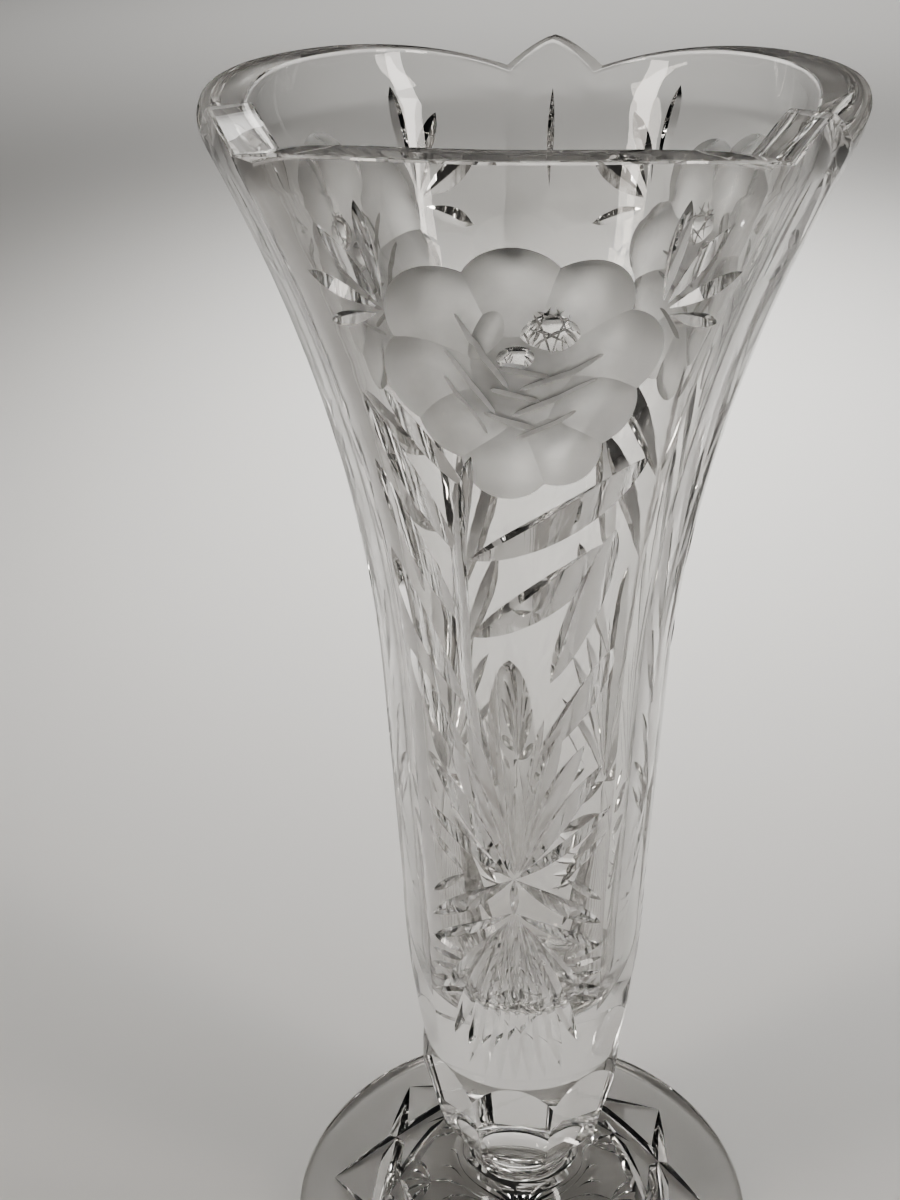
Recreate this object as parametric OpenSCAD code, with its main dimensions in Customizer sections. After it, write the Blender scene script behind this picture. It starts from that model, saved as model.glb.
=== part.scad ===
// Footed trumpet vase in clear cut glass, with frosted flowers.
// Three pieces of glass, joined hot: bowl, knop and foot.
// Units are millimetres. The foot rests on z = 0. One flower panel faces -Y.

/* [Bowl] */
// Height of the rim at its six valleys
rim_z = 250; // [230:1:280]
// Height where the flare turns up into the lip
lip_z = 246; // [226:1:276]
// Outside radius where the lip starts
lip_r = 52.8; // [46:0.1:60]
// Height where the flare starts
flare_z = 146; // [125:1:165]
// Height of the bowl's shoulder
shoulder_z = 96; // [88:1:105]
// Outside radius at the shoulder
shoulder_r = 25.2; // [23:0.1:30]
// Widening of the body above the shoulder, mm for each mm of height
body_taper = 0.05; // [0.02:0.01:0.08]
// Height where the bowl meets the knop
bowl_z = 56; // [52:1:60]
// Outside radius where the bowl meets the knop
bowl_base_r = 21.5; // [20:0.1:22]
// Wall thickness at the lip
lip_wall = 8.2; // [6:0.1:9]
// Wall thickness in the body
body_wall = 7.2; // [6:0.1:9]

/* [Rim lobes] */
// Half angle of a narrow panel at the rim, degrees
narrow_rim = 10.2; // [7:0.1:14]
// Half angle of a narrow panel in the body, degrees
narrow_body = 16; // [12:0.5:18]
// Rise of the front wide lobe above the valleys
front_rise = 3.7; // [2:0.1:6]
// Rise of the other two wide lobes above the valleys
wide_rise = 5.8; // [2:0.1:6.5]
// Rise of the small lobes above the valleys
small_rise = 5.6; // [2:0.1:6.5]

/* [Cutting] */
// Depth of the long leaf cuts
leaf_depth = 1.7; // [0.8:0.1:2.2]
// Depth of the fine fan cuts
fan_depth = 1.2; // [0.6:0.1:1.6]
// Radius of the wheel that grinds the petals
petal_wheel = 24; // [18:1:40]
// Turn of the fan motifs from the panel's middle, degrees
fan_turn = 1.5; // [-3:0.5:3]
// Turn of the flower from the panel's middle, degrees
rose_turn = 4; // [-5:0.5:5]

/* [Knop] */
// Number of flat facets
facets = 8; // [6:1:10]
// Largest radius of the knop before the facets
knop_r = 22.8; // [22.2:0.1:25]
// Height of the knop's lower edge
knop_low_z = 30; // [29:1:33]
// Radius of the knop's lower edge before the facets
knop_low_r = 18.6; // [17.8:0.1:19.4]
// Distance of the facets from the axis at the knop's lower edge
facet_low_r = 16.2; // [15:0.1:17]
// Radius of the neck under the knop
neck_r = 11; // [9:0.1:12]

/* [Foot] */
// Radius of the foot
foot_r = 51.9; // [48:0.1:58]
// Thickness of the foot at its edge
foot_edge = 4.2; // [3.6:0.1:5.6]
// Height where the foot meets the neck
foot_top_z = 16; // [15:0.5:16.5]
// Radius of the points of the large star
star_r = 44.5; // [38:0.5:46]
// Radius of the sunburst
sun_r = 17; // [12:0.5:20]
// Number of rays in the sunburst
sun_rays = 16; // [8:4:24]

/* [Hidden] */
$fn = 96;
glass = [0.85, 0.88, 0.88];
panels = [270, 30, 150];
narrows = [90, 210, 330];
lobe_half = 60 - narrow_rim;
top_z = rim_z + max(wide_rise, small_rise);
arc_top = top_z + 1;
body_r = shoulder_r + body_taper * (flare_z - shoulder_z);
lean = atan(body_taper);

// The flare is an arc tangent to the body, and the lip an arc tangent to the flare.
function flare_arc(r0, r1) = (pow(r1 - r0, 2) + pow(lip_z - flare_z, 2))
    / (2 * ((r1 - r0) * cos(lean) - (lip_z - flare_z) * sin(lean)));
function flare_cx(r0, r1) = r0 + flare_arc(r0, r1) * cos(lean);
function flare_cy(r0, r1) = flare_z - flare_arc(r0, r1) * sin(lean);
function lip_lean(r0, r1) = asin((lip_z - flare_cy(r0, r1)) / flare_arc(r0, r1));
function lip_arc(r0, r1) = (arc_top - lip_z) / sin(lip_lean(r0, r1));
function lip_cx(r0, r1) = r1 - lip_arc(r0, r1) * cos(lip_lean(r0, r1));
function low_r(z) = shoulder_r - (shoulder_r - bowl_base_r)
    * pow((shoulder_z - z) / (shoulder_z - bowl_z), 1.9);

// Outside radius of the bowl at height z.
out_arc = flare_arc(body_r, lip_r);
out_lip = lip_arc(body_r, lip_r);
function outer_r(z) = z < shoulder_z ? low_r(z)
    : z < flare_z ? shoulder_r + body_taper * (z - shoulder_z)
    : z < lip_z ? flare_cx(body_r, lip_r)
        - sqrt(out_arc * out_arc - pow(z - flare_cy(body_r, lip_r), 2))
    : lip_cx(body_r, lip_r) + sqrt(out_lip * out_lip - pow(arc_top - min(z, top_z), 2));
rim_r = outer_r(rim_z);

// Heights where the outline has a corner. Between them it is a straight line.
low_zs = [bowl_z, bowl_z + 9, bowl_z + 20, shoulder_z];
flare_zs = [for (t = [0, 0.17, 0.31, 0.44, 0.56, 0.67, 0.77, 0.86, 0.94])
    flare_z + t * (lip_z - flare_z)];
top_zs = [lip_z, lip_z + 3, lip_z + 6, arc_top];
outer_zs = concat(low_zs, flare_zs, top_zs);

// The inside: the wall thickens towards the lip, and a round floor closes it.
floor_z = shoulder_z - 12;
floor_r = shoulder_r - body_wall - 0.6;
function wall(z) = body_wall
    + (lip_wall - body_wall) * max(0, min(1, (z - flare_z) / (lip_z - flare_z)));
function inner_r(z) = outer_r(z) - wall(z);
floor_line = [for (t = [0, 20, 40, 58, 74, 90])
    [floor_r * sin(t), floor_z - floor_r * cos(t)]];
inner_line = concat(floor_line, [[inner_r(shoulder_z), shoulder_z]],
    [for (z = concat(flare_zs, top_zs)) [inner_r(z), z]],
    [[inner_r(arc_top), arc_top + 2], [0, arc_top + 2]]);

// A point on the outside at angle a and height z, and the way out of the glass there.
function at(a, z) = [outer_r(z) * cos(a), outer_r(z) * sin(a), z];
function slope(z) = (outer_r(z + 1) - outer_r(z - 1)) / 2;
function unit(v) = v / norm(v);
function out(a, z) = unit([cos(a), sin(a), -slope(z)]);

// A wheel with a V edge grinds one leaf from p0 to p1: w is its half width, d its depth.
module wheel(p0, p1, n, w, d, bulge) {
    along = unit(p1 - p0);
    side = unit(cross(along, n));
    up = cross(side, along);
    half = norm(p1 - p0) / 2;
    sag = max(0.25, d - bulge);
    rad = (half * half + sag * sag) / (2 * sag);
    mid = (p0 + p1) / 2 + up * (rad - sag);
    v = w * 1.5;
    h = v * (sag + max(0, bulge)) / w;
    reach = asin(min(0.94, half * 1.35 / rad));
    multmatrix([[along[0], up[0], side[0], mid[0]], [along[1], up[1], side[1], mid[1]],
                [along[2], up[2], side[2], mid[2]], [0, 0, 0, 1]])
        rotate([0, 0, 270 - reach])
            rotate_extrude(angle = 2 * reach, $fn = 720)
                polygon([[rad - h - 2, -v], [rad - h, -v], [rad, 0], [rad - h, v],
                         [rad - h - 2, v]]);
}

// One leaf on the bowl. c is [angle 0, height 0, angle 1, height 1, half width, depth].
module leaf(c, turn) {
    p0 = at(c[0] + turn, c[1]);
    p1 = at(c[2] + turn, c[3]);
    am = (c[0] + c[2]) / 2 + turn;
    zm = (c[1] + c[3]) / 2;
    wheel(p0, p1, out(am, zm), c[4], c[5], (at(am, zm) - (p0 + p1) / 2) * out(am, zm));
}

// A petal is a scoop of a round wheel. c is [angle, height, half width].
module petal(c, turn) {
    n = out(c[0] + turn, c[1]);
    translate(at(c[0] + turn, c[1]) + n * sqrt(petal_wheel * petal_wheel - c[2] * c[2]))
        sphere(r = petal_wheel);
}

// Stem and leaves under the flower.
sprays = [
    [-9.6, 201, -16.5, 161, 1.3, leaf_depth],
    [-17, 177, -38, 203, 2.1, leaf_depth],
    [-17.5, 158, -42, 186, 2.2, leaf_depth],
    [-11.5, 183, 37, 201, 3, 2.2],
    [-12, 168, 31, 186, 3.2, 2.3],
    [15, 160, 31, 187, 2.9, leaf_depth]];

// Fan that opens upwards, the arms of its cross, and the fan that opens downwards.
half_fan = [
    [3, 118, 20, 146, 2.4, 1.6],
    [2, 114, 41, 127.5, 1.3, 1.6],
    [2, 113, 40, 99, 1.7, 1.7],
    [4, 100, 19, 69, 1.8, fan_depth]];
fan_middle = [
    [0, 116, -1.5, 162, 4.5, 2],
    [0, 102, 0, 69, 1.6, fan_depth]];

// Petals of the flower, from the flower's middle.
petals = [
    [-12.5, 232.5, 6.2], [1.3, 234, 6.6], [15, 232.5, 6.2], [22.5, 225, 6.2],
    [18.5, 213, 7], [10, 204, 5.8], [-2.5, 202.5, 6], [-13, 209, 6.8], [-20, 221, 7.4]];

function mirrored(c) = [-c[0], c[1], -c[2], c[3], c[4], c[5]];
fans = concat(fan_middle, half_fan, [for (c = half_fan) mirrored(c)]);
rim_notch = [0, 232, 0, 248, 1, 1.6];

// Every cut as [kind, numbers, turn], made one after another.
cuts = concat(
    [for (a = panels, c = petals) [1, c, a + rose_turn]],
    [for (a = panels, c = sprays) [0, c, a]],
    [for (a = panels, c = fans) [0, c, a + fan_turn]],
    [for (a = narrows) [0, rim_notch, a]]);

module one_cut(c) {
    if (c[0] == 1) petal(c[1], c[2]);
    else leaf(c[1], c[2]);
}

module cut_bowl(n) {
    if (n == 0) plain_bowl();
    else difference() {
        cut_bowl(n - 1);
        one_cut(cuts[n - 1]);
    }
}

// The plain panels between the flowers: flat across, and following the flare.
function narrow_half(z) = z < flare_z ? narrow_body
    : narrow_rim + (narrow_body - narrow_rim) * pow((arc_top - z) / (arc_top - flare_z), 1.5);
flat_zs = concat([bowl_z + 4, bowl_z + 10.3, bowl_z + 21.5, shoulder_z + 1.6],
    [for (z = flare_zs) z + 1.3], [lip_z + 1.4, lip_z + 4.6, lip_z + 7.3, arc_top + 1]);
module narrow_flat() {
    flat = [for (z = flat_zs)
        [outer_r(z) * cos(z > bowl_z + 4 ? narrow_half(min(z, arc_top)) : 0), z]];
    rotate([90, 0, 0])
        linear_extrude(height = 60, center = true)
            polygon(concat([[70, flat_zs[0]]], flat, [[70, arc_top + 1]]));
}

// The space over one lobe: a wedge above an arch, a little wider than the lobe's angle +-half
// so that two neighbours overlap.
module lobe_space(turn, half, rise) {
    chord = rim_r * sin(half);
    arch = (chord * chord + rise * rise) / (2 * rise);
    far = 70;
    side = far * tan(half + 0.4);
    rotate([0, 0, turn])
        difference() {
            translate([0, 0, rim_z - 6])
                linear_extrude(height = 14)
                    polygon([[0, 0], [far, -side], [far, side]]);
            translate([-1, 0, rim_z + rise - arch])
                rotate([0, 90, 0])
                    cylinder(r = arch, h = far + 3);
        }
}

module plain_bowl() {
    difference() {
        rotate_extrude()
            polygon(concat([[0, bowl_z]], [for (z = outer_zs) [outer_r(z), z]], [[0, arc_top]]));
        rotate_extrude()
            polygon(inner_line);
        lobe_space(panels[0], lobe_half, front_rise);
        lobe_space(panels[1], lobe_half, wide_rise);
        lobe_space(panels[2], lobe_half, wide_rise);
        lobe_space(narrows[0], narrow_rim, small_rise);
        lobe_space(narrows[1], narrow_rim, small_rise);
        lobe_space(narrows[2], narrow_rim, small_rise);
        rotate([0, 0, narrows[0]]) narrow_flat();
        rotate([0, 0, narrows[1]]) narrow_flat();
        rotate([0, 0, narrows[2]]) narrow_flat();
    }
}

module bowl() {
    color(glass) cut_bowl(len(cuts));
}

// Round collar with flat facets, over a short neck.
module knop_blank() {
    rotate_extrude()
        polygon([[0, foot_top_z], [neck_r + 1.6, foot_top_z], [neck_r + 0.5, foot_top_z + 3],
                 [neck_r, foot_top_z + 6], [neck_r + 0.4, knop_low_z - 4.5],
                 [neck_r + 1.8, knop_low_z - 2], [knop_low_r - 3, knop_low_z - 0.4],
                 [knop_low_r, knop_low_z], [knop_low_r + 2.6, knop_low_z + 6],
                 [knop_r, knop_low_z + 12], [knop_r, knop_low_z + 18],
                 [knop_r - 0.5, knop_low_z + 22], [bowl_base_r, bowl_z], [0, bowl_z]]);
}

module knop() {
    facet_lean = atan((bowl_base_r + 0.05 - facet_low_r) / (bowl_z - knop_low_z));
    color(glass)
        difference() {
            knop_blank();
            for (k = [0 : facets - 1])
                rotate([0, 0, 270 + k * 360 / facets])
                    translate([facet_low_r, 0, knop_low_z])
                        rotate([0, facet_lean, 0])
                            translate([0, -12, -9])
                                cube([14, 24, 42]);
        }
}

// Grooves on the underside of the foot, each from one point to another.
function polar(r, a) = [r * cos(a), r * sin(a), 0];
grooves = concat(
    [for (k = [0 : 7]) [polar(star_r, 45 * k), polar(star_r, 45 * k + 90), 2.4, 1.7]],
    [for (k = [0 : sun_rays - 1])
        [polar(3, 360 / sun_rays * k), polar(sun_r, 360 / sun_rays * k), 1, 1.1]]);

module foot_blank() {
    rotate_extrude()
        polygon([[0, 0], [foot_r - 1.6, 0], [foot_r - 0.5, 0.5], [foot_r, 1.6],
                 [foot_r, foot_edge - 1.4], [foot_r - 0.5, foot_edge - 0.4],
                 [foot_r - 1.6, foot_edge], [40, foot_edge + 0.9], [28, foot_edge + 2.8],
                 [20, foot_edge + 5.6], [15.5, foot_edge + 8.4], [neck_r + 1.6, foot_top_z],
                 [0, foot_top_z]]);
}

module cut_foot(n) {
    if (n == 0) foot_blank();
    else difference() {
        cut_foot(n - 1);
        wheel(grooves[n - 1][0], grooves[n - 1][1], [0, 0, -1], grooves[n - 1][2],
              grooves[n - 1][3], 0);
    }
}

module foot() {
    color(glass) cut_foot(len(grooves));
}

bowl();
knop();
foot();
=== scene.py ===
"""Looks of a footed trumpet vase in clear cut glass with frosted flowers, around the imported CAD."""

import math

import bmesh
import bpy
import numpy as np
from mathutils import Matrix, Vector


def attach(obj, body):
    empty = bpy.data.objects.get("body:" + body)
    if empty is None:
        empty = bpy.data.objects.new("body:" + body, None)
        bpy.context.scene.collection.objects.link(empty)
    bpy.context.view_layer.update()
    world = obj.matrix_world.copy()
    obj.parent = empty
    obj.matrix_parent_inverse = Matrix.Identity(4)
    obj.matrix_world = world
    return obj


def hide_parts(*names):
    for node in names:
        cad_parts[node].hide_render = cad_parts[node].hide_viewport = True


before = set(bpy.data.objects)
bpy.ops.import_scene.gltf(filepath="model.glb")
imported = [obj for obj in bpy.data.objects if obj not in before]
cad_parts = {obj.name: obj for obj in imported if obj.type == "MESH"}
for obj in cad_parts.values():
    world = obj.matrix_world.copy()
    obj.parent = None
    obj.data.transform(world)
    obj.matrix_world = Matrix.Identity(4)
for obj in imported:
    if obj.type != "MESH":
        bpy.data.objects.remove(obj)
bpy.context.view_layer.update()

# ---------------------------------------------------------------- sizes, in millimetres
RIM_Z, FRONT_RISE, WIDE_RISE, SMALL_RISE = 250.0, 3.7, 5.8, 5.6
LIP_Z, LIP_R, LIP_WALL = 246.0, 52.8, 8.2
FLARE_Z, SHOULDER_Z, SHOULDER_R, TAPER = 146.0, 96.0, 25.2, 0.05
BOWL_Z, BASE_R, BODY_WALL = 56.0, 21.5, 7.2
NARROW_RIM, NARROW_BODY = 10.2, 16.0
ARC_TOP = 256.8
BODY_R = SHOULDER_R + TAPER * (FLARE_Z - SHOULDER_Z)
LEAN = math.atan(TAPER)
PANELS = (270.0, 30.0, 150.0)
NARROWS = (330.0, 90.0, 210.0)  # each follows the wide panel of the same place in PANELS
WIDE_SEGS, NARROW_SEGS = 56, 12
SEGS = 3 * (WIDE_SEGS + NARROW_SEGS)
LOBE_START = 242.0  # above this the rings bend to follow the rim's lobes
ROUNDING = 0.5
FAN_TURN, ROSE_TURN, ROSE_Z = 1.5, 4.0, 218.0
CLIMB = 0.94  # height gained for each millimetre up the flared glass at the flowers
FLOWER_R = 25.0
FLOOR_R = SHOULDER_R - BODY_WALL - 0.6
FLOOR_Z = SHOULDER_Z - 12.0


def arcs(r0, r1):
    """The arcs of the flare and the lip, from radius r0 at the flare's foot to r1 at the lip."""
    dx, dz = r1 - r0, LIP_Z - FLARE_Z
    big = (dx * dx + dz * dz) / (2 * (dx * math.cos(LEAN) - dz * math.sin(LEAN)))
    cx, cz = r0 + big * math.cos(LEAN), FLARE_Z - big * math.sin(LEAN)
    turn = math.asin((LIP_Z - cz) / big)
    small = (ARC_TOP - LIP_Z) / math.sin(turn)
    return big, cx, cz, small, r1 - small * math.cos(turn)


def upper_r(z, r0, r1):
    big, cx, cz, small, lx = arcs(r0, r1)
    flare = cx - np.sqrt(np.maximum(big * big - (z - cz) ** 2, 0))
    lip = lx + np.sqrt(np.maximum(small * small - (ARC_TOP - z) ** 2, 0))
    return np.where(z < LIP_Z, flare, lip)


def outer_r(z, k_body=1.0, k_lip=1.0):
    z = np.asarray(z, float)
    drop = np.maximum(SHOULDER_Z - z, 0) / (SHOULDER_Z - BOWL_Z)
    low = SHOULDER_R - (SHOULDER_R - BASE_R) * drop**1.9
    body = SHOULDER_R + TAPER * (z - SHOULDER_Z)
    lower = np.where(z < SHOULDER_Z, low, body) * k_body
    return np.where(z < FLARE_Z, lower, upper_r(z, BODY_R * k_body, LIP_R * k_lip))


def inner_r(z):
    z = np.asarray(z, float)
    shoulder = SHOULDER_R - BODY_WALL
    line = np.where(
        z < SHOULDER_Z,
        FLOOR_R + (shoulder - FLOOR_R) * (z - FLOOR_Z) / (SHOULDER_Z - FLOOR_Z),
        shoulder + TAPER * (z - SHOULDER_Z),
    )
    floor = np.sqrt(np.maximum(FLOOR_R**2 - (FLOOR_Z - z) ** 2, 0))
    line = np.where(z < FLOOR_Z, floor, line)
    return np.where(z < FLARE_Z, line, upper_r(z, BODY_R - BODY_WALL, LIP_R - LIP_WALL))


def narrow_half(z):
    """Half angle of the plain flat panels at height z; they fade out at the bowl's base."""
    flat = outer_r(z, math.cos(math.radians(NARROW_BODY)), math.cos(math.radians(NARROW_RIM)))
    half = np.degrees(np.arccos(np.clip(flat / outer_r(z), -1, 1)))
    t = np.clip((np.asarray(z, float) - BOWL_Z) / 8.0, 0, 1)
    return np.maximum(half * t * t * (3 - 2 * t), 0.4)


def rim_z(off, narrow_off, rise):
    """Height of the rim; off is the angle from a wide lobe's middle, narrow_off from a small one's.

    rise is how far the wide lobe stands above the rim's low points.
    """
    wide = RIM_Z + rise * (1 - (np.abs(off) / (60 - NARROW_RIM)) ** 2.6)
    small = RIM_Z + SMALL_RISE * (1 - (np.abs(narrow_off) / NARROW_RIM) ** 1.35)
    return np.where(np.abs(narrow_off) < NARROW_RIM + 0.01, small, wide)


# ---------------------------------------------------------------- mesh helpers
def mesh_object(name, verts, faces, mats=(), face_mats=None, keep=False):
    """An object with its faces turned outwards; only a kept one is put in the scene."""
    mesh = bpy.data.meshes.new(name)
    mesh.from_pydata([tuple(v) for v in verts], [], faces)
    for m in mats:
        mesh.materials.append(m)
    if face_mats is not None:
        mesh.polygons.foreach_set("material_index", np.asarray(face_mats, np.int32))
    shape = bmesh.new()
    shape.from_mesh(mesh)
    bmesh.ops.recalc_face_normals(shape, faces=shape.faces)
    shape.to_mesh(mesh)
    shape.free()
    mesh.update()
    obj = bpy.data.objects.new(name, mesh)
    if keep:
        bpy.context.scene.collection.objects.link(obj)
    return obj


def rings_to_faces(count, segs):
    faces = []
    for i in range(count - 1):
        a, b = i * segs, (i + 1) * segs
        for j in range(segs):
            k = (j + 1) % segs
            faces.append((a + j, a + k, b + k, b + j))
    return faces


def at(a, z):
    """The point of the uncut outside at angle a and height z."""
    a, r = np.radians(a), outer_r(z)
    return np.array([r * np.cos(a), r * np.sin(a), z + 0 * a], float).T


def out(a, z):
    """The outward normal of the uncut outside at angle a and height z."""
    slope = (outer_r(np.asarray(z, float) + 0.5) - outer_r(np.asarray(z, float) - 0.5))
    a = np.radians(a)
    n = np.array([np.cos(a), np.sin(a), -slope + 0 * a], float).T
    return n / np.linalg.norm(n, axis=-1, keepdims=True)


def curve_through(points, steps):
    """A smooth line through points in a plane."""
    p = np.array(points, float)
    p = np.vstack([2 * p[0] - p[1], p, 2 * p[-1] - p[-2]])
    result = []
    for i in range(1, len(p) - 2):
        for t in np.linspace(0, 1, steps, endpoint=False):
            result.append(
                0.5 * (2 * p[i] + (p[i + 1] - p[i - 1]) * t
                       + (2 * p[i - 1] - 5 * p[i] + 4 * p[i + 1] - p[i + 2]) * t * t
                       + (3 * p[i] - p[i - 1] - 3 * p[i + 1] + p[i + 2]) * t**3)
            )
    result.append(p[-2])
    return [tuple(q) for q in result]


def canoe(points, normals, half, depth, lift, mat, name):
    """A cutter with a V keel: points lie on the glass, and the width follows the depth."""
    n = len(points)
    along = np.gradient(points, axis=0)
    along /= np.linalg.norm(along, axis=1, keepdims=True)
    side = np.cross(along, normals)
    side /= np.linalg.norm(side, axis=1, keepdims=True)
    keel = points - normals * depth[:, None]
    wide = half * np.maximum(depth + lift, 0) / depth.max()
    left = points + normals * lift + side * wide[:, None]
    right = points + normals * lift - side * wide[:, None]
    verts = [keel[0]]
    for i in range(1, n - 1):
        verts += [keel[i], left[i], right[i]]
    verts.append(keel[-1])
    faces = []
    last = len(verts) - 1
    faces += [(0, 1, 2), (0, 3, 1), (0, 2, 3)]
    for i in range(n - 3):
        a, b = 1 + 3 * i, 4 + 3 * i
        faces += [(a, b, b + 1, a + 1), (a, a + 2, b + 2, b), (a + 1, b + 1, b + 2, a + 2)]
    a = 1 + 3 * (n - 3)
    faces += [(last, a + 1, a), (last, a, a + 2), (last, a + 2, a + 1)]
    return mesh_object(name, verts, faces, [mat])


def leaf(cutters, mat, c, turn, bend=0.0, skew=0.0, n=26, blunt=1.0):
    """One miter on the bowl. c is (angle, height, angle, height, half width, depth).

    A blunt under 1 rounds its ends, bend bows it sideways, and skew moves its widest part.
    """
    a0, z0, a1, z1, half, depth = c
    lift = 1.2
    reach = math.sqrt(1 + lift / depth)
    u = np.linspace(-reach, reach, n)
    f = (u + 1) / 2 + skew * (1 - u * u) / 2
    z = z0 + (z1 - z0) * f
    a = a0 + (a1 - a0) * f + turn
    if bend:
        mid = float(outer_r((z0 + z1) / 2))
        sweep = bend * (1 - u * u)
        da, dz = (a1 - a0) * math.radians(1) * mid, z1 - z0
        size = math.hypot(da, dz)
        a = a + np.degrees(-dz / size * sweep / mid)
        z = z + da / size * sweep
    profile = 1 - u * u
    d = depth * np.sign(profile) * np.abs(profile) ** np.where(np.abs(u) < 1, blunt, 1.0)
    d[0] = d[-1] = -lift
    cutters.append(canoe(at(a, z), out(a, z), half, d, lift, mat, "cut"))


def stem(cutters, mat, points, turn, half, depth, lift=1.0):
    """A long miter of even depth through (angle, height) points."""
    line = np.array(curve_through(points, 9))
    n = len(line)
    u = np.abs(np.linspace(-1, 1, n))
    d = depth * (1 - u**8)
    d[0] = d[-1] = -lift
    a, z = line[:, 0] + turn, line[:, 1]
    cutters.append(canoe(at(a, z), out(a, z), half, d, lift, mat, "stem"))


def scoop(cutters, mat, a0, z0, wide, tall, deep, turn=0.0, bank=0.0, lift=1.2, rings=8, segs=44):
    """A shallow hollow with an elliptical outline; bank deepens its outer side, along turn."""
    t_max = math.sqrt(1 + lift / deep)
    ts = list(np.linspace(0, 1, rings + 1)[1:]) + [t_max]
    phi = np.linspace(0, 2 * math.pi, segs, endpoint=False)
    c, s = math.cos(turn), math.sin(turn)

    def place(t, rise):
        x, y = t * wide * np.cos(phi), t * tall * np.sin(phi)
        z = z0 + (x * s + y * c) * CLIMB
        a = a0 + np.degrees((x * c - y * s) / outer_r(z))
        return at(a, z) + out(a, z) * rise

    verts, faces = [], []
    for t in ts[:-1]:
        d = deep * (1 - t * t) * (1 + bank * t * np.sin(phi))
        verts.append(place(t, -d[:, None]))
    verts.append(place(t_max, lift))
    for t in ts[-2::-1]:
        verts.append(place(t, lift))
    n = len(verts)
    verts = np.concatenate(verts)
    z = np.array([z0])
    verts = np.vstack([verts, at(np.array([a0]), z) - out(np.array([a0]), z) * deep,
                       at(np.array([a0]), z) + out(np.array([a0]), z) * lift])
    low, top = len(verts) - 2, len(verts) - 1
    faces += rings_to_faces(n, segs)
    faces += [(low, (j + 1) % segs, j) for j in range(segs)]
    last = (n - 1) * segs
    faces += [(top, last + j, last + (j + 1) % segs) for j in range(segs)]
    cutters.append(mesh_object("scoop", verts, faces, [mat]))


# ---------------------------------------------------------------- materials
def new_material(name):
    mat = bpy.data.materials.new(name)
    mat.use_nodes = True
    nodes, links = mat.node_tree.nodes, mat.node_tree.links
    nodes.clear()
    return mat, nodes, links


def noise(nodes, links, scale, detail=3.0, rough=0.5, stretch=None):
    coord = nodes.new("ShaderNodeTexCoord")
    tex = nodes.new("ShaderNodeTexNoise")
    tex.inputs["Scale"].default_value = scale
    tex.inputs["Detail"].default_value = detail
    tex.inputs["Roughness"].default_value = rough
    if stretch:
        mapping = nodes.new("ShaderNodeMapping")
        mapping.inputs["Scale"].default_value = stretch
        links.new(coord.outputs["Object"], mapping.inputs["Vector"])
        links.new(mapping.outputs["Vector"], tex.inputs["Vector"])
    else:
        links.new(coord.outputs["Object"], tex.inputs["Vector"])
    return tex.outputs["Fac"]


def spread(nodes, links, value, low, high, out_low, out_high):
    m = nodes.new("ShaderNodeMapRange")
    m.inputs["From Min"].default_value = low
    m.inputs["From Max"].default_value = high
    m.inputs["To Min"].default_value = out_low
    m.inputs["To Max"].default_value = out_high
    links.new(value, m.inputs["Value"])
    return m.outputs["Result"]


def bump(nodes, links, value, distance, strength):
    b = nodes.new("ShaderNodeBump")
    b.inputs["Distance"].default_value = distance
    b.inputs["Strength"].default_value = strength
    links.new(value, b.inputs["Height"])
    return b.outputs["Normal"]


def clear_glass(name, polish):
    """Polished lead crystal: faint waviness of the surface and a trace of handling haze."""
    mat, nodes, links = new_material(name)
    shader = nodes.new("ShaderNodeBsdfPrincipled")
    shader.inputs["Base Color"].default_value = (0.88, 0.875, 0.865, 1)
    shader.inputs["IOR"].default_value = 1.54
    shader.inputs["Transmission Weight"].default_value = 1.0
    haze = noise(nodes, links, 60.0, 4.0)
    links.new(spread(nodes, links, haze, 0.45, 0.75, 0.0, polish), shader.inputs["Roughness"])
    wave = noise(nodes, links, 90.0, 2.0)
    links.new(bump(nodes, links, wave, 0.0006, 0.08), shader.inputs["Normal"])
    result = nodes.new("ShaderNodeOutputMaterial")
    links.new(shader.outputs["BSDF"], result.inputs["Surface"])
    return mat


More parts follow.
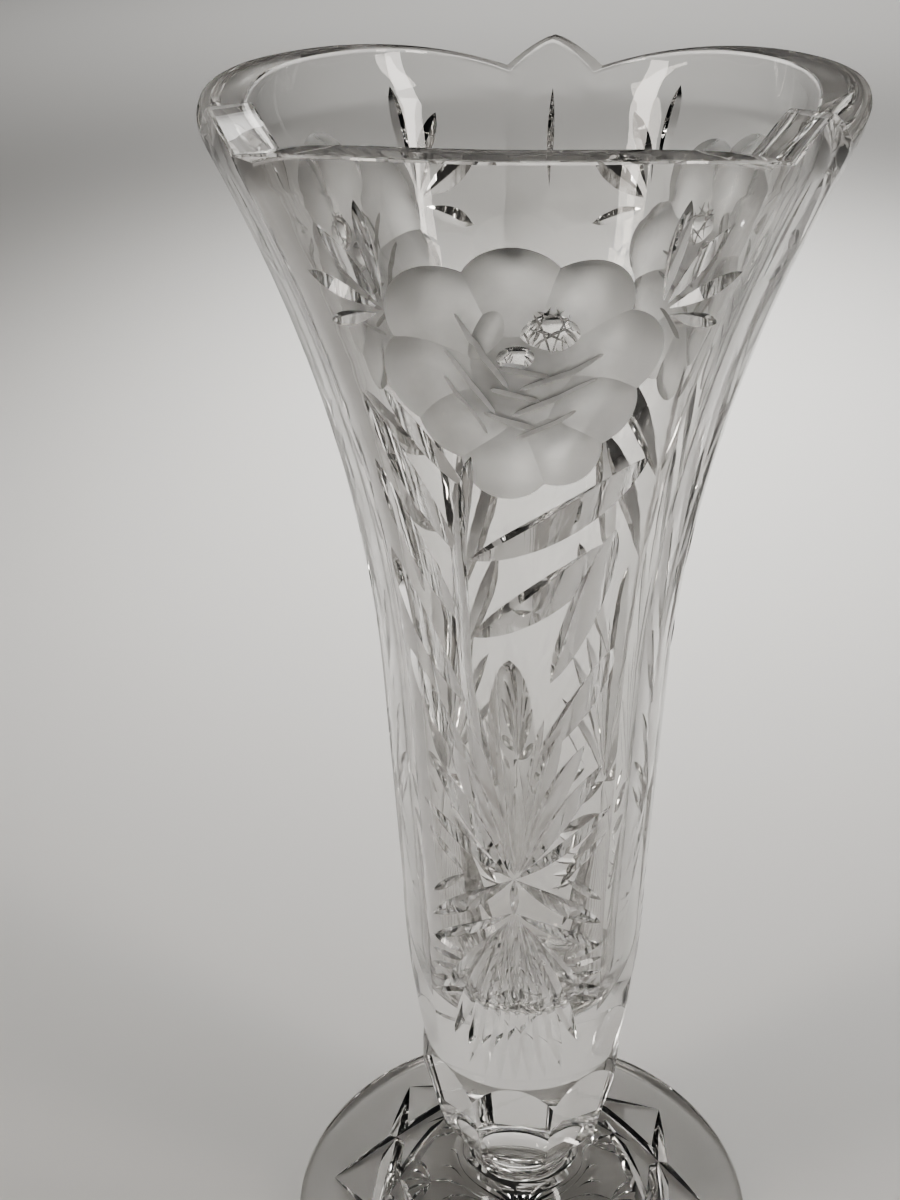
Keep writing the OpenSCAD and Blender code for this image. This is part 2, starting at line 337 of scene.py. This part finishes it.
def frosted_glass(name, tones, clearness):
    """Ground glass: fine grain, soft streaks of the wheel, and a milky skin, thinner at the edge.

    tones paint the colour darker toward the flower's middle as painted shade and lighter toward its
    edge as a painted highlight on the petals' rims. tones and clearness are (flower's middle,
    flower's edge).
    """
    mat, nodes, links = new_material(name)
    shader = nodes.new("ShaderNodeBsdfPrincipled")
    shader.inputs["IOR"].default_value = 1.54
    cloud = noise(nodes, links, 130.0, 3.0)
    edge = nodes.new("ShaderNodeAttribute")
    edge.attribute_name = "petal_edge"
    # random frost patchiness plus the ramp from the flower's middle to its edge, which carries the
    # painted shade
    frost_and_shade = nodes.new("ShaderNodeMath")
    frost_and_shade.operation = "MULTIPLY_ADD"
    frost_and_shade.inputs[1].default_value = 0.5
    links.new(cloud, frost_and_shade.inputs[0])
    links.new(edge.outputs["Fac"], frost_and_shade.inputs[2])
    # colour ramp: dark toward the flower's middle as painted shade, light toward its edge as a
    # painted highlight
    tint = nodes.new("ShaderNodeValToRGB")
    for element, place, tone in zip(tint.color_ramp.elements, (0.45, 1.0), tones):
        element.position = place
        element.color = (tone, tone, tone * 0.99, 1)
    links.new(frost_and_shade.outputs[0], tint.inputs["Fac"])
    links.new(tint.outputs["Color"], shader.inputs["Base Color"])
    # less see-through toward the flower's middle, which deepens the painted shade there
    clear = spread(nodes, links, frost_and_shade.outputs[0], 0.55, 1.15, *clearness)
    links.new(clear, shader.inputs["Transmission Weight"])
    streak = noise(nodes, links, 160.0, 2.0, stretch=(1.0, 1.0, 0.12))
    links.new(spread(nodes, links, streak, 0.3, 0.7, 0.36, 0.56), shader.inputs["Roughness"])
    grain = noise(nodes, links, 3000.0, 2.0)
    links.new(bump(nodes, links, grain, 0.00005, 0.35), shader.inputs["Normal"])
    result = nodes.new("ShaderNodeOutputMaterial")
    links.new(shader.outputs["BSDF"], result.inputs["Surface"])
    return mat


def joint_face(name):
    """Where two gathers of glass are joined hot there is no surface to see."""
    mat, nodes, links = new_material(name)
    shader = nodes.new("ShaderNodeBsdfTransparent")
    result = nodes.new("ShaderNodeOutputMaterial")
    links.new(shader.outputs["BSDF"], result.inputs["Surface"])
    return mat


bowl_clear = clear_glass("bowl_clear_glass", 0.035)
cut_clear = clear_glass("cut_clear_glass", 0.025)
# petals painted dark grey at the flower's middle as painted shade and white at its edge as a painted
# highlight on the rims
frost = frosted_glass("frosted_glass", (0.34, 1.0), (0.62, 0.92))
fine_line = frosted_glass("fine_line_glass", (1.0, 1.0), (0.80, 0.80))
knop_clear = clear_glass("knop_clear_glass", 0.03)
foot_clear = clear_glass("foot_clear_glass", 0.05)
joint = joint_face("fused_joint")


# ---------------------------------------------------------------- the uncut bowl
def ring_angles(half):
    """Angles round the vase for one ring: samples gather at the edges of the plain panels."""
    angles, offs, nars = [], [], []
    for p, q in zip(PANELS, NARROWS):
        w = p + (60 - half) * np.linspace(-1, 1, WIDE_SEGS + 1)[:-1]
        n = q + half * np.linspace(-1, 1, NARROW_SEGS + 1)[:-1]
        angles += [w, n]
        offs += [w - p, np.full(NARROW_SEGS, 90.0)]
        nars += [np.full(WIDE_SEGS, 90.0), n - q]
    return np.concatenate(angles), np.concatenate(offs), np.concatenate(nars)


def make_bowl():
    """The uncut bowl: rings up the outside, over the rim and down the inside to the floor."""
    segs, edge, half_top = SEGS, ROUNDING, NARROW_RIM
    # outside, from the joint with the knop to the top edge
    zs = list(np.linspace(BOWL_Z, SHOULDER_Z, 21))
    zs += list(np.linspace(SHOULDER_Z, FLARE_Z, 15))[1:]
    zs += list(np.linspace(FLARE_Z, LOBE_START, 50))[1:]
    rings = []
    for z in zs:
        half = float(narrow_half(z))
        a, off, nar = ring_angles(half)
        r = np.full(segs, float(outer_r(z)))
        flat = np.abs(nar) < 60
        r[flat] = r[flat] * math.cos(math.radians(half)) / np.cos(np.radians(nar[flat]))
        rings.append((a, r, np.full(segs, float(z))))
    a, off, nar = ring_angles(half_top)
    full_half = float(narrow_half(RIM_Z))
    rise = np.repeat([FRONT_RISE, WIDE_RISE, WIDE_RISE], segs // 3)
    top = np.where(np.abs(nar) < 60, rim_z(0 * off, nar, rise), rim_z(off, nar, rise))
    flat = np.abs(nar) < 60
    for t in (0.25, 0.5, 0.75, 1.0):
        z = LOBE_START + (top - edge - LOBE_START) * t
        half = narrow_half(z) * (1 - t) + full_half * t
        aa = a.copy()
        aa[flat] = (a - nar)[flat] + nar[flat] / half_top * half[flat]
        aa[~flat] = (a - off)[~flat] + off[~flat] / (60 - half_top) * (60 - half[~flat])
        r = outer_r(z)
        chord = r * np.cos(np.radians(half)) / np.cos(np.radians(nar / half_top * half))
        r = np.where(flat, chord, r)
        rings.append((aa, r, z))
    aa, r_out, z = rings[-1]
    rings.append((aa, r_out - edge * 0.3, z + edge * 0.7))
    rings.append((aa, r_out - edge, z + edge))
    n_outer = len(rings)
    r_in = inner_r(top - edge)
    for t in (0.25, 0.5, 0.75):
        rings.append((aa, (r_out - edge) * (1 - t) + (r_in + edge) * t, top))
    rings.append((aa, r_in + edge, top))
    rings.append((aa, r_in + edge * 0.3, top - edge * 0.3))
    rings.append((aa, r_in, top - edge))
    n_rim = len(rings)
    for t in (0.25, 0.5, 0.75, 1.0):
        z = (top - edge) * (1 - t) + LOBE_START * t
        rings.append((aa, inner_r(z), z))
    down = list(np.linspace(LOBE_START, FLARE_Z, 44))[1:]
    down += list(np.linspace(FLARE_Z, FLOOR_Z, 24))[1:]
    for z in down:
        rings.append((aa, np.full(segs, float(inner_r(z))), np.full(segs, float(z))))
    for t in np.linspace(90, 0, 20)[1:-1]:
        t = math.radians(t)
        r, z = FLOOR_R * math.sin(t), FLOOR_Z - FLOOR_R * math.cos(t)
        rings.append((aa, np.full(segs, r), np.full(segs, z)))
    verts = []
    for a, r, z in rings:
        ar = np.radians(a)
        verts.append(np.stack([r * np.cos(ar), r * np.sin(ar), z], 1))
    verts = np.concatenate(verts)
    faces = rings_to_faces(len(rings), segs)
    mats = []
    for i in range(len(rings) - 1):
        slot = 0 if i < n_outer - 1 else (1 if i < n_rim - 1 else 2)
        if i < n_outer - 3:
            mats += [0 if j % (WIDE_SEGS + NARROW_SEGS) < WIDE_SEGS else 3 for j in range(segs)]
        else:
            mats += [slot if slot else 1] * segs
    # joint face below, and the pole of the floor
    verts = np.vstack([verts, [0, 0, BOWL_Z], [0, 0, FLOOR_Z - FLOOR_R]])
    low, pole = len(verts) - 2, len(verts) - 1
    for j in range(segs):
        faces.append((low, (j + 1) % segs, j))
        mats.append(4)
    last = (len(rings) - 1) * segs
    for j in range(segs):
        faces.append((last + j, last + (j + 1) % segs, pole))
        mats.append(2)
    # slots: 0 round outside, 1 rim, 2 inside, 3 plain flats, 4 joint
    slot_mats = [bpy.data.materials.new("tag_%d" % i) for i in range(5)]
    return mesh_object("bowl_glass", verts, faces, slot_mats, mats, keep=True)


# ---------------------------------------------------------------- the cuts
def bowl_cutters():
    tag_cut = bpy.data.materials.new("tag_cut")
    tag_frost = bpy.data.materials.new("tag_frost")
    tag_shine = bpy.data.materials.new("tag_shine")
    tag_line = bpy.data.materials.new("tag_line")
    cuts = []
    for p in PANELS:
        # stem: one long miter that swings out and back
        path = (
            (-8.6, 204), (-11.5, 196), (-14.8, 184.8), (-15.9, 169.8),
            (-16.0, 157), (-11, 143), (-5.5, 129),
        )
        stem(cuts, tag_cut, path, p, 1.4, 2.7)
        # leaves on the left of the stem
        for c, bend in (
            ((-10.5, 197, -29, 214, 1.8, 2.0), 0.8),
            ((-14.0, 183, -36.5, 212, 2.4, 2.5), 1.4),
            ((-16, 169, -39.5, 199, 2.5, 2.6), 1.5),
            ((-16.5, 152, -42, 181, 2.6, 2.6), 1.6),
            ((-12.5, 137, -40.5, 160, 2.4, 2.4), 1.2),
        ):
            leaf(cuts, tag_cut, c, p, bend=bend, skew=0.12, blunt=0.8, n=30)
        # leaves on the right of the stem
        for c, bend in (
            ((-11.5, 183, 38, 201.5, 3.4, 3.1), -1.6),
            ((-12.5, 167, 31.5, 186, 3.6, 3.2), -1.2),
            ((14.5, 158, 32, 188, 3.2, 2.9), -0.8),
            ((10.5, 142, 38, 163, 2.6, 2.5), -0.8),
        ):
            leaf(cuts, tag_cut, c, p, bend=bend, skew=0.12, blunt=0.7, n=34)
        # fan that opens upwards
        q = p + FAN_TURN
        leaf(cuts, tag_cut, (0, 115, -1.8, 162.5, 4.9, 3.5), q, skew=0.16, n=40, blunt=0.62)
        for s in (-1, 1):
            for c, bend in (
                ((0.8, 115, 11, 150, 1.5, 1.5), 0.6),
                ((1.5, 115.5, 18.5, 148, 2.4, 2.3), 0.8),
                ((2.0, 115, 27.5, 143.5, 2.4, 2.3), 0.9),
                ((2.5, 114.5, 36, 138, 2.1, 2.0), 0.8),
                ((0.6, 113.6, 41.5, 127.5, 1.5, 1.7), 0.0),
                ((0.6, 113.4, 41, 99, 1.8, 1.8), 0.0),
                ((0.6, 105.2, 42, 93.2, 1.2, 1.5), 0.0),
            ):
                a0, z0, a1, z1, w, d = c
                leaf(cuts, tag_cut, (s * a0, z0, s * a1, z1, w, d), q, bend=s * bend, skew=0.1)
            # nested side diamonds between the arms
            leaf(cuts, tag_cut, (s * 22, 113.3, s * 40, 121.5, 0.9, 0.9), q)
            leaf(cuts, tag_cut, (s * 22, 112.7, s * 40, 105, 0.9, 0.9), q)
            # fan that opens downwards
            for c in (
                (0.8, 103.8, 8.5, 58.5, 1.6, 1.9),
                (1.6, 103.6, 16.5, 59.5, 1.8, 1.9),
                (2.4, 103.4, 25, 62, 1.8, 1.9),
                (3.2, 103.0, 32.5, 69, 1.7, 1.8),
                (4.0, 102.4, 38.5, 79, 1.4, 1.4),
            ):
                a0, z0, a1, z1, w, d = c
                leaf(cuts, tag_cut, (s * a0, z0, s * a1, z1, w, d), q, skew=0.15)
            # bundle of short rays at the panel's edge
            for z0, z1 in ((95.2, 96.4), (93.2, 92.6), (91.0, 88.8), (88.6, 85.0), (86.2, 81.4)):
                leaf(cuts, tag_cut, (s * 24, z0 - 2.5, s * 43, z1 - 2.5, 0.75, 0.7), q, n=16)
        leaf(cuts, tag_cut, (0, 113.4, 0, 104.6, 0.9, 0.9), q)
        leaf(cuts, tag_cut, (0, 104, 0, 58.5, 1.7, 2.0), q, skew=0.15)
        # four small leaves at each side of the flower
        r = p + ROSE_TURN
        for s in (-1, 1):
            for c in (
                (27.0, 230.5, 26.5, 247, 1.5, 1.3),
                (28.0, 230, 36.5, 241.5, 1.7, 1.3),
                (28.6, 229.2, 44.5, 233, 1.7, 1.5),
                (29.0, 228.0, 43.0, 224.5, 1.3, 1.2),
            ):
                a0, z0, a1, z1, w, d = c
                leaf(cuts, tag_cut, (s * a0, z0, s * a1, z1, w, d), r, skew=0.18)
        # the flower: a ring of ground petals round the folded middle,
        # as (angle, distance from its centre, wide, tall)
        for angle, far, wide, tall in (
            (137, 16.2, 9.8, 9.4),
            (94, 15.6, 8.6, 8.8),
            (57, 15.8, 8.0, 9.1),
            (17, 14.0, 8.8, 9.1),
            (-27, 11.2, 8.4, 8.6),
            (-66, 13.6, 7.2, 8.7),
            (-98, 15.0, 7.6, 8.7),
            (-139, 11.3, 8.2, 8.2),
            (181, 13.4, 9.4, 9.0),
        ):
            t = math.radians(angle)
            z = ROSE_Z + far * math.sin(t) * CLIMB
            a = r + math.degrees(far * math.cos(t) / float(outer_r(z)))
            scoop(cuts, tag_frost, a, z, wide, tall, 1.55, turn=t - math.pi / 2, bank=0.95)
        scoop(cuts, tag_frost, r, ROSE_Z - 1.5, 11.0, 11.0, 0.75)
        scoop(cuts, tag_frost, r - 6.6, ROSE_Z + 8.5, 2.6, 6.4, 1.25, turn=-0.45, segs=30)
        # fine lines of white ground glass between the folded petals, bright against the petals'
        # painted shade
        for c in (
            (-14.0, 229.7, -2.2, 215.4), (-16.8, 223.4, -5.4, 210.8), (-18.4, 218.4, -7.6, 206.6),
            (19.2, 221.8, -1.6, 215.6), (18.4, 217.9, -3.2, 211.0), (14.2, 211.8, -2.4, 206.7),
            (-5.4, 220.0, 6.6, 218.3), (-7.6, 216.2, 4.8, 213.8), (-9.8, 211.6, 3.8, 209.0),
        ):
            stem(cuts, tag_line, (c[:2], c[2:]), r, 0.62, 2.8)
        # the clear heart: polished hollows with crossed cuts round a small button
        scoop(cuts, tag_shine, r + 6.4, 226.6, 5.4, 3.9, 1.6, segs=36)
        scoop(cuts, tag_shine, r - 1.2, 221.6, 3.6, 3.0, 1.5, turn=0.3, segs=32)
        button, button_z = 4.4, 227.0
        mid = float(outer_r(button_z))
        for k in range(8):
            ends = []
            for t in (math.radians(45 * k), math.radians(45 * k + 135)):
                ends.append(6.0 + math.degrees(button * math.cos(t) / mid))
                ends.append(button_z + button * math.sin(t))
            leaf(cuts, tag_shine, (*ends, 0.6, 2.1), r, n=14)
    # one upright cut below each small lobe
    for q in NARROWS:
        leaf(cuts, tag_cut, (0, 226, 0, 247.5, 1.2, 1.9), q)
    return cuts


def make_solid(obj, cutters):
    """Cuts every cutter from obj in one boolean, and applies it."""
    group = bpy.data.collections.new(obj.name + "_cutters")
    bpy.context.scene.collection.children.link(group)
    for c in cutters:
        group.objects.link(c)
    mod = obj.modifiers.new("cuts", "BOOLEAN")
    mod.operation = "DIFFERENCE"
    mod.solver = "MANIFOLD"
    mod.operand_type = "COLLECTION"
    mod.collection = group
    mod.material_mode = "TRANSFER"
    bpy.context.view_layer.update()
    graph = bpy.context.evaluated_depsgraph_get()
    done = bpy.data.meshes.new_from_object(obj.evaluated_get(graph))
    obj.modifiers.clear()
    old = obj.data
    obj.data = done
    bpy.data.meshes.remove(old)
    for c in cutters:
        bpy.data.objects.remove(c)
    bpy.data.collections.remove(group)


def finish_mesh(obj, tag_to_mat, normal_of=None, smooth_deg=11.0):
    """Sharp edges where surfaces meet, true normals on the uncut glass, and the real materials."""
    mesh = obj.data
    names = [m.name if m else "" for m in mesh.materials]
    slot = np.zeros(len(mesh.polygons), np.int32)
    mesh.polygons.foreach_get("material_index", slot)
    mesh.polygons.foreach_set("use_smooth", np.ones(len(mesh.polygons), bool))
    mesh.set_sharp_from_angle(angle=math.radians(smooth_deg))
    mesh.update()
    loops = np.zeros(len(mesh.loops) * 3, np.float32)
    mesh.corner_normals.foreach_get("vector", loops)
    loops = loops.reshape(-1, 3)
    co = np.zeros(len(mesh.vertices) * 3, np.float64)
    mesh.vertices.foreach_get("co", co)
    co = co.reshape(-1, 3)
    index = np.zeros(len(mesh.loops), np.int32)
    mesh.loops.foreach_get("vertex_index", index)
    starts = np.zeros(len(mesh.polygons), np.int32)
    totals = np.zeros(len(mesh.polygons), np.int32)
    mesh.polygons.foreach_get("loop_start", starts)
    mesh.polygons.foreach_get("loop_total", totals)
    loop_face = np.repeat(np.arange(len(mesh.polygons)), totals)
    if normal_of:
        for tag, fn in normal_of.items():
            if tag not in names:
                continue
            pick = slot[loop_face] == names.index(tag)
            if pick.any():
                loops[pick] = fn(co[index[pick]])
        mesh.normals_split_custom_set(loops.tolist())
    mats = []
    for m in tag_to_mat.values():
        if m not in mats:
            mats.append(m)
    remap = np.array([mats.index(tag_to_mat[n]) for n in names], np.int32)
    mesh.materials.clear()
    for m in mats:
        mesh.materials.append(m)
    mesh.polygons.foreach_set("material_index", remap[slot])
    mesh.update()


def outside_normal(co):
    a = np.degrees(np.arctan2(co[:, 1], co[:, 0]))
    return out(a, co[:, 2])


def inside_normal(co):
    r = np.hypot(co[:, 0], co[:, 1])
    z = co[:, 2]
    slope = (inner_r(z + 0.4) - inner_r(z - 0.4)) / 0.8
    safe = np.maximum(r, 1e-6)
    n = np.stack([-co[:, 0] / safe, -co[:, 1] / safe, slope], 1)
    ball = -np.stack([co[:, 0], co[:, 1], z - FLOOR_Z], 1)
    n[z < FLOOR_Z] = ball[z < FLOOR_Z]
    return n / np.linalg.norm(n, axis=1, keepdims=True)


def flat_normal(co):
    a = np.degrees(np.arctan2(co[:, 1], co[:, 0])) % 360
    q = np.array(sorted(NARROWS))
    near = q[np.argmin(np.abs(a[:, None] - q[None, :]), axis=1)]
    z = co[:, 2]

    def flat_r(z):
        return outer_r(z) * np.cos(np.radians(narrow_half(z)))

    slope = flat_r(z + 0.5) - flat_r(z - 0.5)
    t = np.radians(near)
    n = np.stack([np.cos(t), np.sin(t), -slope], 1)
    return n / np.linalg.norm(n, axis=1, keepdims=True)


bowl = make_bowl()
make_solid(bowl, bowl_cutters())
finish_mesh(
    bowl,
    {
        "tag_0": bowl_clear, "tag_1": bowl_clear, "tag_2": bowl_clear, "tag_3": bowl_clear,
        "tag_4": joint, "tag_cut": cut_clear, "tag_frost": frost, "tag_shine": cut_clear,
        "tag_line": fine_line,
    },
    {"tag_0": outside_normal, "tag_2": inside_normal, "tag_3": flat_normal},
)


def mark_petals(obj):
    """How far each point lies from its flower's centre: 1 at the flower's edge and beyond."""
    co = np.empty(len(obj.data.vertices) * 3)
    obj.data.vertices.foreach_get("co", co)
    x, y, z = co.reshape(-1, 3).T
    far = np.full(len(x), 99.0)
    for p in PANELS:
        off = (np.degrees(np.arctan2(y, x)) - p - ROSE_TURN + 180) % 360 - 180
        far = np.minimum(far, np.hypot(np.radians(off) * outer_r(z), (z - ROSE_Z) / CLIMB))
    # this ramp places the petals' painted shade toward the middle and painted highlight toward the
    # edge
    mark = obj.data.attributes.new("petal_edge", "FLOAT", "POINT")
    mark.data.foreach_set("value", np.clip(far / FLOWER_R, 0, 1))


mark_petals(bowl)


# ---------------------------------------------------------------- knop and foot
def lathe(name, line, segs, slots, mats):
    """A closed turned solid from (radius, height) points that start and end on the axis."""
    verts, faces, marks = [(0, 0, line[0][1])], [], []
    for r, z in line[1:-1]:
        for j in range(segs):
            a = 2 * math.pi * j / segs
            verts.append((r * math.cos(a), r * math.sin(a), z))
    verts.append((0, 0, line[-1][1]))
    end = len(verts) - 1
    for j in range(segs):
        faces.append((0, 1 + (j + 1) % segs, 1 + j))
        marks.append(slots[0])
    for i in range(len(line) - 3):
        a, b = 1 + i * segs, 1 + (i + 1) * segs
        for j in range(segs):
            k = (j + 1) % segs
            faces.append((a + j, a + k, b + k, b + j))
            marks.append(slots[i + 1])
    a = 1 + (len(line) - 3) * segs
    for j in range(segs):
        faces.append((a + j, a + (j + 1) % segs, end))
        marks.append(slots[-1])
    return mesh_object(name, verts, faces, mats, marks, keep=True)


KNOP_R, KNOP_LOW, KNOP_LOW_R = 22.8, 30.0, 18.6
NECK_R, FOOT_TOP, FACET_LOW, FACETS = 11.0, 16.0, 16.2, 8
knop_tags = [bpy.data.materials.new("knop_tag_%d" % i) for i in range(2)]
under = curve_through(
    [
        (NECK_R + 1.6, FOOT_TOP), (NECK_R + 0.5, 19), (NECK_R, 22), (NECK_R + 0.4, 25.5),
        (NECK_R + 1.8, 28), (KNOP_LOW_R - 3.4, KNOP_LOW - 0.5), (KNOP_LOW_R - 0.4, KNOP_LOW),
    ],
    6,
)
over = curve_through(
    [
        (KNOP_LOW_R, KNOP_LOW + 0.5), (21.2, 36), (KNOP_R, 42),
        (KNOP_R, 48), (22.3, 52), (BASE_R, BOWL_Z),
    ],
    8,
)
knop_line = [(0, FOOT_TOP)] + under + over + [(0, BOWL_Z)]
knop = lathe("knop_glass", knop_line, 160, [1] + [0] * (len(knop_line) - 3) + [1], knop_tags)


def facet_cutters():
    tag = bpy.data.materials.new("knop_tag_cut")
    cuts = []
    lean = math.atan((BASE_R + 0.05 - FACET_LOW) / (BOWL_Z - KNOP_LOW))
    for k in range(FACETS):
        turn = math.radians(270 + 360 / FACETS * k)
        c, s = math.cos(turn), math.sin(turn)
        verts, n = [], 13
        # a very slightly hollow facet, as a large wheel leaves it
        for i in range(n):
            y = -11 + 22 * i / (n - 1)
            swell = 0.5 * (y / 10) ** 2
            for x, z in ((swell, -9), (swell, 33), (14, 33), (14, -9)):
                px = x * math.cos(lean) + z * math.sin(lean) + FACET_LOW
                pz = -x * math.sin(lean) + z * math.cos(lean) + KNOP_LOW
                verts.append((px * c - y * s, px * s + y * c, pz))
        faces = [(3, 2, 1, 0), tuple(4 * (n - 1) + q for q in range(4))]
        for i in range(n - 1):
            a, b = 4 * i, 4 * i + 4
            for q in range(4):
                faces.append((a + q, a + (q + 1) % 4, b + (q + 1) % 4, b + q))
        cuts.append(mesh_object("facet", verts, faces, [tag]))
    return cuts


make_solid(knop, facet_cutters())
knop_mats = {"knop_tag_0": knop_clear, "knop_tag_1": joint, "knop_tag_cut": knop_clear}
finish_mesh(knop, knop_mats, smooth_deg=20.0)

FOOT_R, FOOT_EDGE, FOOT_ROUND = 51.9, 4.2, 1.4
foot_tags = [bpy.data.materials.new("foot_tag_%d" % i) for i in range(2)]
edge_line = []
for centre, start in ((FOOT_ROUND, -math.pi / 2), (FOOT_EDGE - FOOT_ROUND, 0)):
    for t in np.linspace(start, start + math.pi / 2, 7):
        edge_line.append(
            (FOOT_R - FOOT_ROUND + FOOT_ROUND * math.cos(t), centre + FOOT_ROUND * math.sin(t))
        )
crown = curve_through(
    [
        (FOOT_R - FOOT_ROUND, FOOT_EDGE), (40, FOOT_EDGE + 0.9), (28, FOOT_EDGE + 2.8),
        (20, FOOT_EDGE + 5.6), (15.5, FOOT_EDGE + 8.4), (NECK_R + 1.6, FOOT_TOP),
    ],
    8,
)[1:]
base_line = [(r, 0.0) for r in np.linspace(3, 48, 12)]
foot_line = [(0, 0)] + base_line + edge_line + crown + [(0, FOOT_TOP)]
foot = lathe("foot_glass", foot_line, 240, [0] * (len(foot_line) - 2) + [1], foot_tags)


def groove(cuts, mat, p0, p1, half, depth, n=24, skew=0.0):
    """One miter across the underside of the foot, from p0 to p1."""
    lift = 1.0
    reach = math.sqrt(1 + lift / depth)
    u = np.linspace(-reach, reach, n)
    f = ((u + 1) / 2 + skew * (1 - u * u) / 2)[:, None]
    points = np.array([*p0, 0.0]) * (1 - f) + np.array([*p1, 0.0]) * f
    d = depth * (1 - u * u)
    d[0] = d[-1] = -lift
    cuts.append(canoe(points, np.tile([0.0, 0.0, -1.0], (n, 1)), half, d, lift, mat, "groove"))


def polar(r, a):
    a = math.radians(a)
    return r * math.cos(a), r * math.sin(a)


def foot_cutters():
    tag = bpy.data.materials.new("foot_tag_cut")
    cuts = []
    for k in range(8):
        a = 45 * k
        groove(cuts, tag, polar(44.5, a), polar(44.5, a + 90), 2.7, 1.9, n=34)
        groove(cuts, tag, polar(37, a + 22.5), polar(37, a + 112.5), 2.0, 1.5, n=34)
        for j in (-2, -1, 0, 1, 2):
            x, y = polar(19.5, a)
            dx, dy = polar(8.0, a + 26 * j)
            groove(cuts, tag, (x, y), (x + dx, y + dy), 1.1, 1.0, n=16, skew=0.15)
    for k in range(24):
        tip = polar(17 if k % 3 else 20, 15 * k)
        groove(cuts, tag, polar(3, 15 * k), tip, 1.3, 1.4, n=20, skew=0.15)
    return cuts


make_solid(foot, foot_cutters())
foot_mats = {"foot_tag_0": foot_clear, "foot_tag_1": joint, "foot_tag_cut": foot_clear}
finish_mesh(foot, foot_mats, smooth_deg=14.0)

for obj, node, name in (
    (bowl, "bowl", "bowl_glass"), (knop, "knop", "knop_glass"), (foot, "foot", "foot_glass"),
):
    obj.data.transform(Matrix.Scale(0.001, 4))  # millimetres to metres
    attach(obj, "root")
    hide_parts(node)

# ---------------------------------------------------------------- floor, light, camera
floor_mat, nodes, links = new_material("floor")
shader = nodes.new("ShaderNodeBsdfPrincipled")
shader.inputs["Base Color"].default_value = (0.60, 0.595, 0.585, 1)
shader.inputs["Roughness"].default_value = 0.75
result = nodes.new("ShaderNodeOutputMaterial")
links.new(shader.outputs["BSDF"], result.inputs["Surface"])
corners = [(-6, -6, 0), (6, -6, 0), (6, 6, 0), (-6, 6, 0)]
floor = mesh_object("floor", corners, [(0, 1, 2, 3)], [floor_mat], keep=True)
floor.location.z = -0.0005

world = bpy.data.worlds.new("studio")
bpy.context.scene.world = world
world.use_nodes = True
sky = world.node_tree.nodes["Background"]
sky.inputs["Color"].default_value = (0.90, 0.95, 1.0, 1)
sky.inputs["Strength"].default_value = 0.008


def softbox(name, place, target, size, size_y, power, colour=(1, 1, 1)):
    light = bpy.data.lights.new(name, "AREA")
    light.shape = "RECTANGLE"
    light.size, light.size_y = size, size_y
    light.energy = power
    light.color = colour
    obj = bpy.data.objects.new(name, light)
    bpy.context.scene.collection.objects.link(obj)
    obj.location = place
    obj.rotation_euler = (Vector(target) - Vector(place)).to_track_quat("-Z", "Y").to_euler()
    return obj


softbox("key", (-0.7, -0.5, 0.7), (0, 0, 0.14), 0.16, 0.7, 3.4, (1.0, 0.94, 0.87))
softbox("fill", (0.75, -0.3, 0.55), (0, 0, 0.14), 0.12, 0.7, 2.8, (1.0, 0.95, 0.9))
softbox("top", (0.05, 0.1, 0.8), (0, 0, 0.2), 0.3, 0.3, 0.8, (1.0, 0.98, 0.95))
# the floor behind the vase is lit by pools of light that don't reach the vase itself
POOL_LIGHT = (1.0, 0.99, 0.97)
near_pool = softbox("near_pool", (0, 0.6, 1.0), (0, 0.6, 0), 0.4, 0.8, 2.8, POOL_LIGHT)
near_pool.data.spread = math.radians(55)
far_pool = softbox("far_pool", (0, 2.5, 1.9), (0, 2.4, 0), 2.2, 2.2, 18, POOL_LIGHT)
far_pool.data.spread = math.radians(90)
bpy.context.scene.view_settings.look = "AgX - Medium High Contrast"

cam_data = bpy.data.cameras.new("camera")
cam_data.sensor_fit = "VERTICAL"
cam_data.sensor_height = 36.0
cam_data.lens = 48.0
camera = bpy.data.objects.new("camera", cam_data)
bpy.context.scene.collection.objects.link(camera)
pitch, yaw, roll, swing = (math.radians(v) for v in (26.95, -3.03, -0.92, 5.27))
level = math.cos(pitch)
forward = Vector((math.sin(yaw) * level, math.cos(yaw) * level, -math.sin(pitch)))
right = Vector((math.cos(yaw), -math.sin(yaw), 0))
up = right.cross(forward)
c, s = math.cos(roll), math.sin(roll)
right, up = right * c + up * s, up * c - right * s
basis = Matrix((right, up, -forward)).transposed().to_4x4()
eye = Matrix.Translation((0, -0.27295, 0.29867))
camera.matrix_world = Matrix.Rotation(swing, 4, "Z") @ eye @ basis
bpy.context.scene.camera = camera

cycles = bpy.context.scene.cycles
cycles.max_bounces = 24
cycles.transmission_bounces = 24
cycles.glossy_bounces = 12
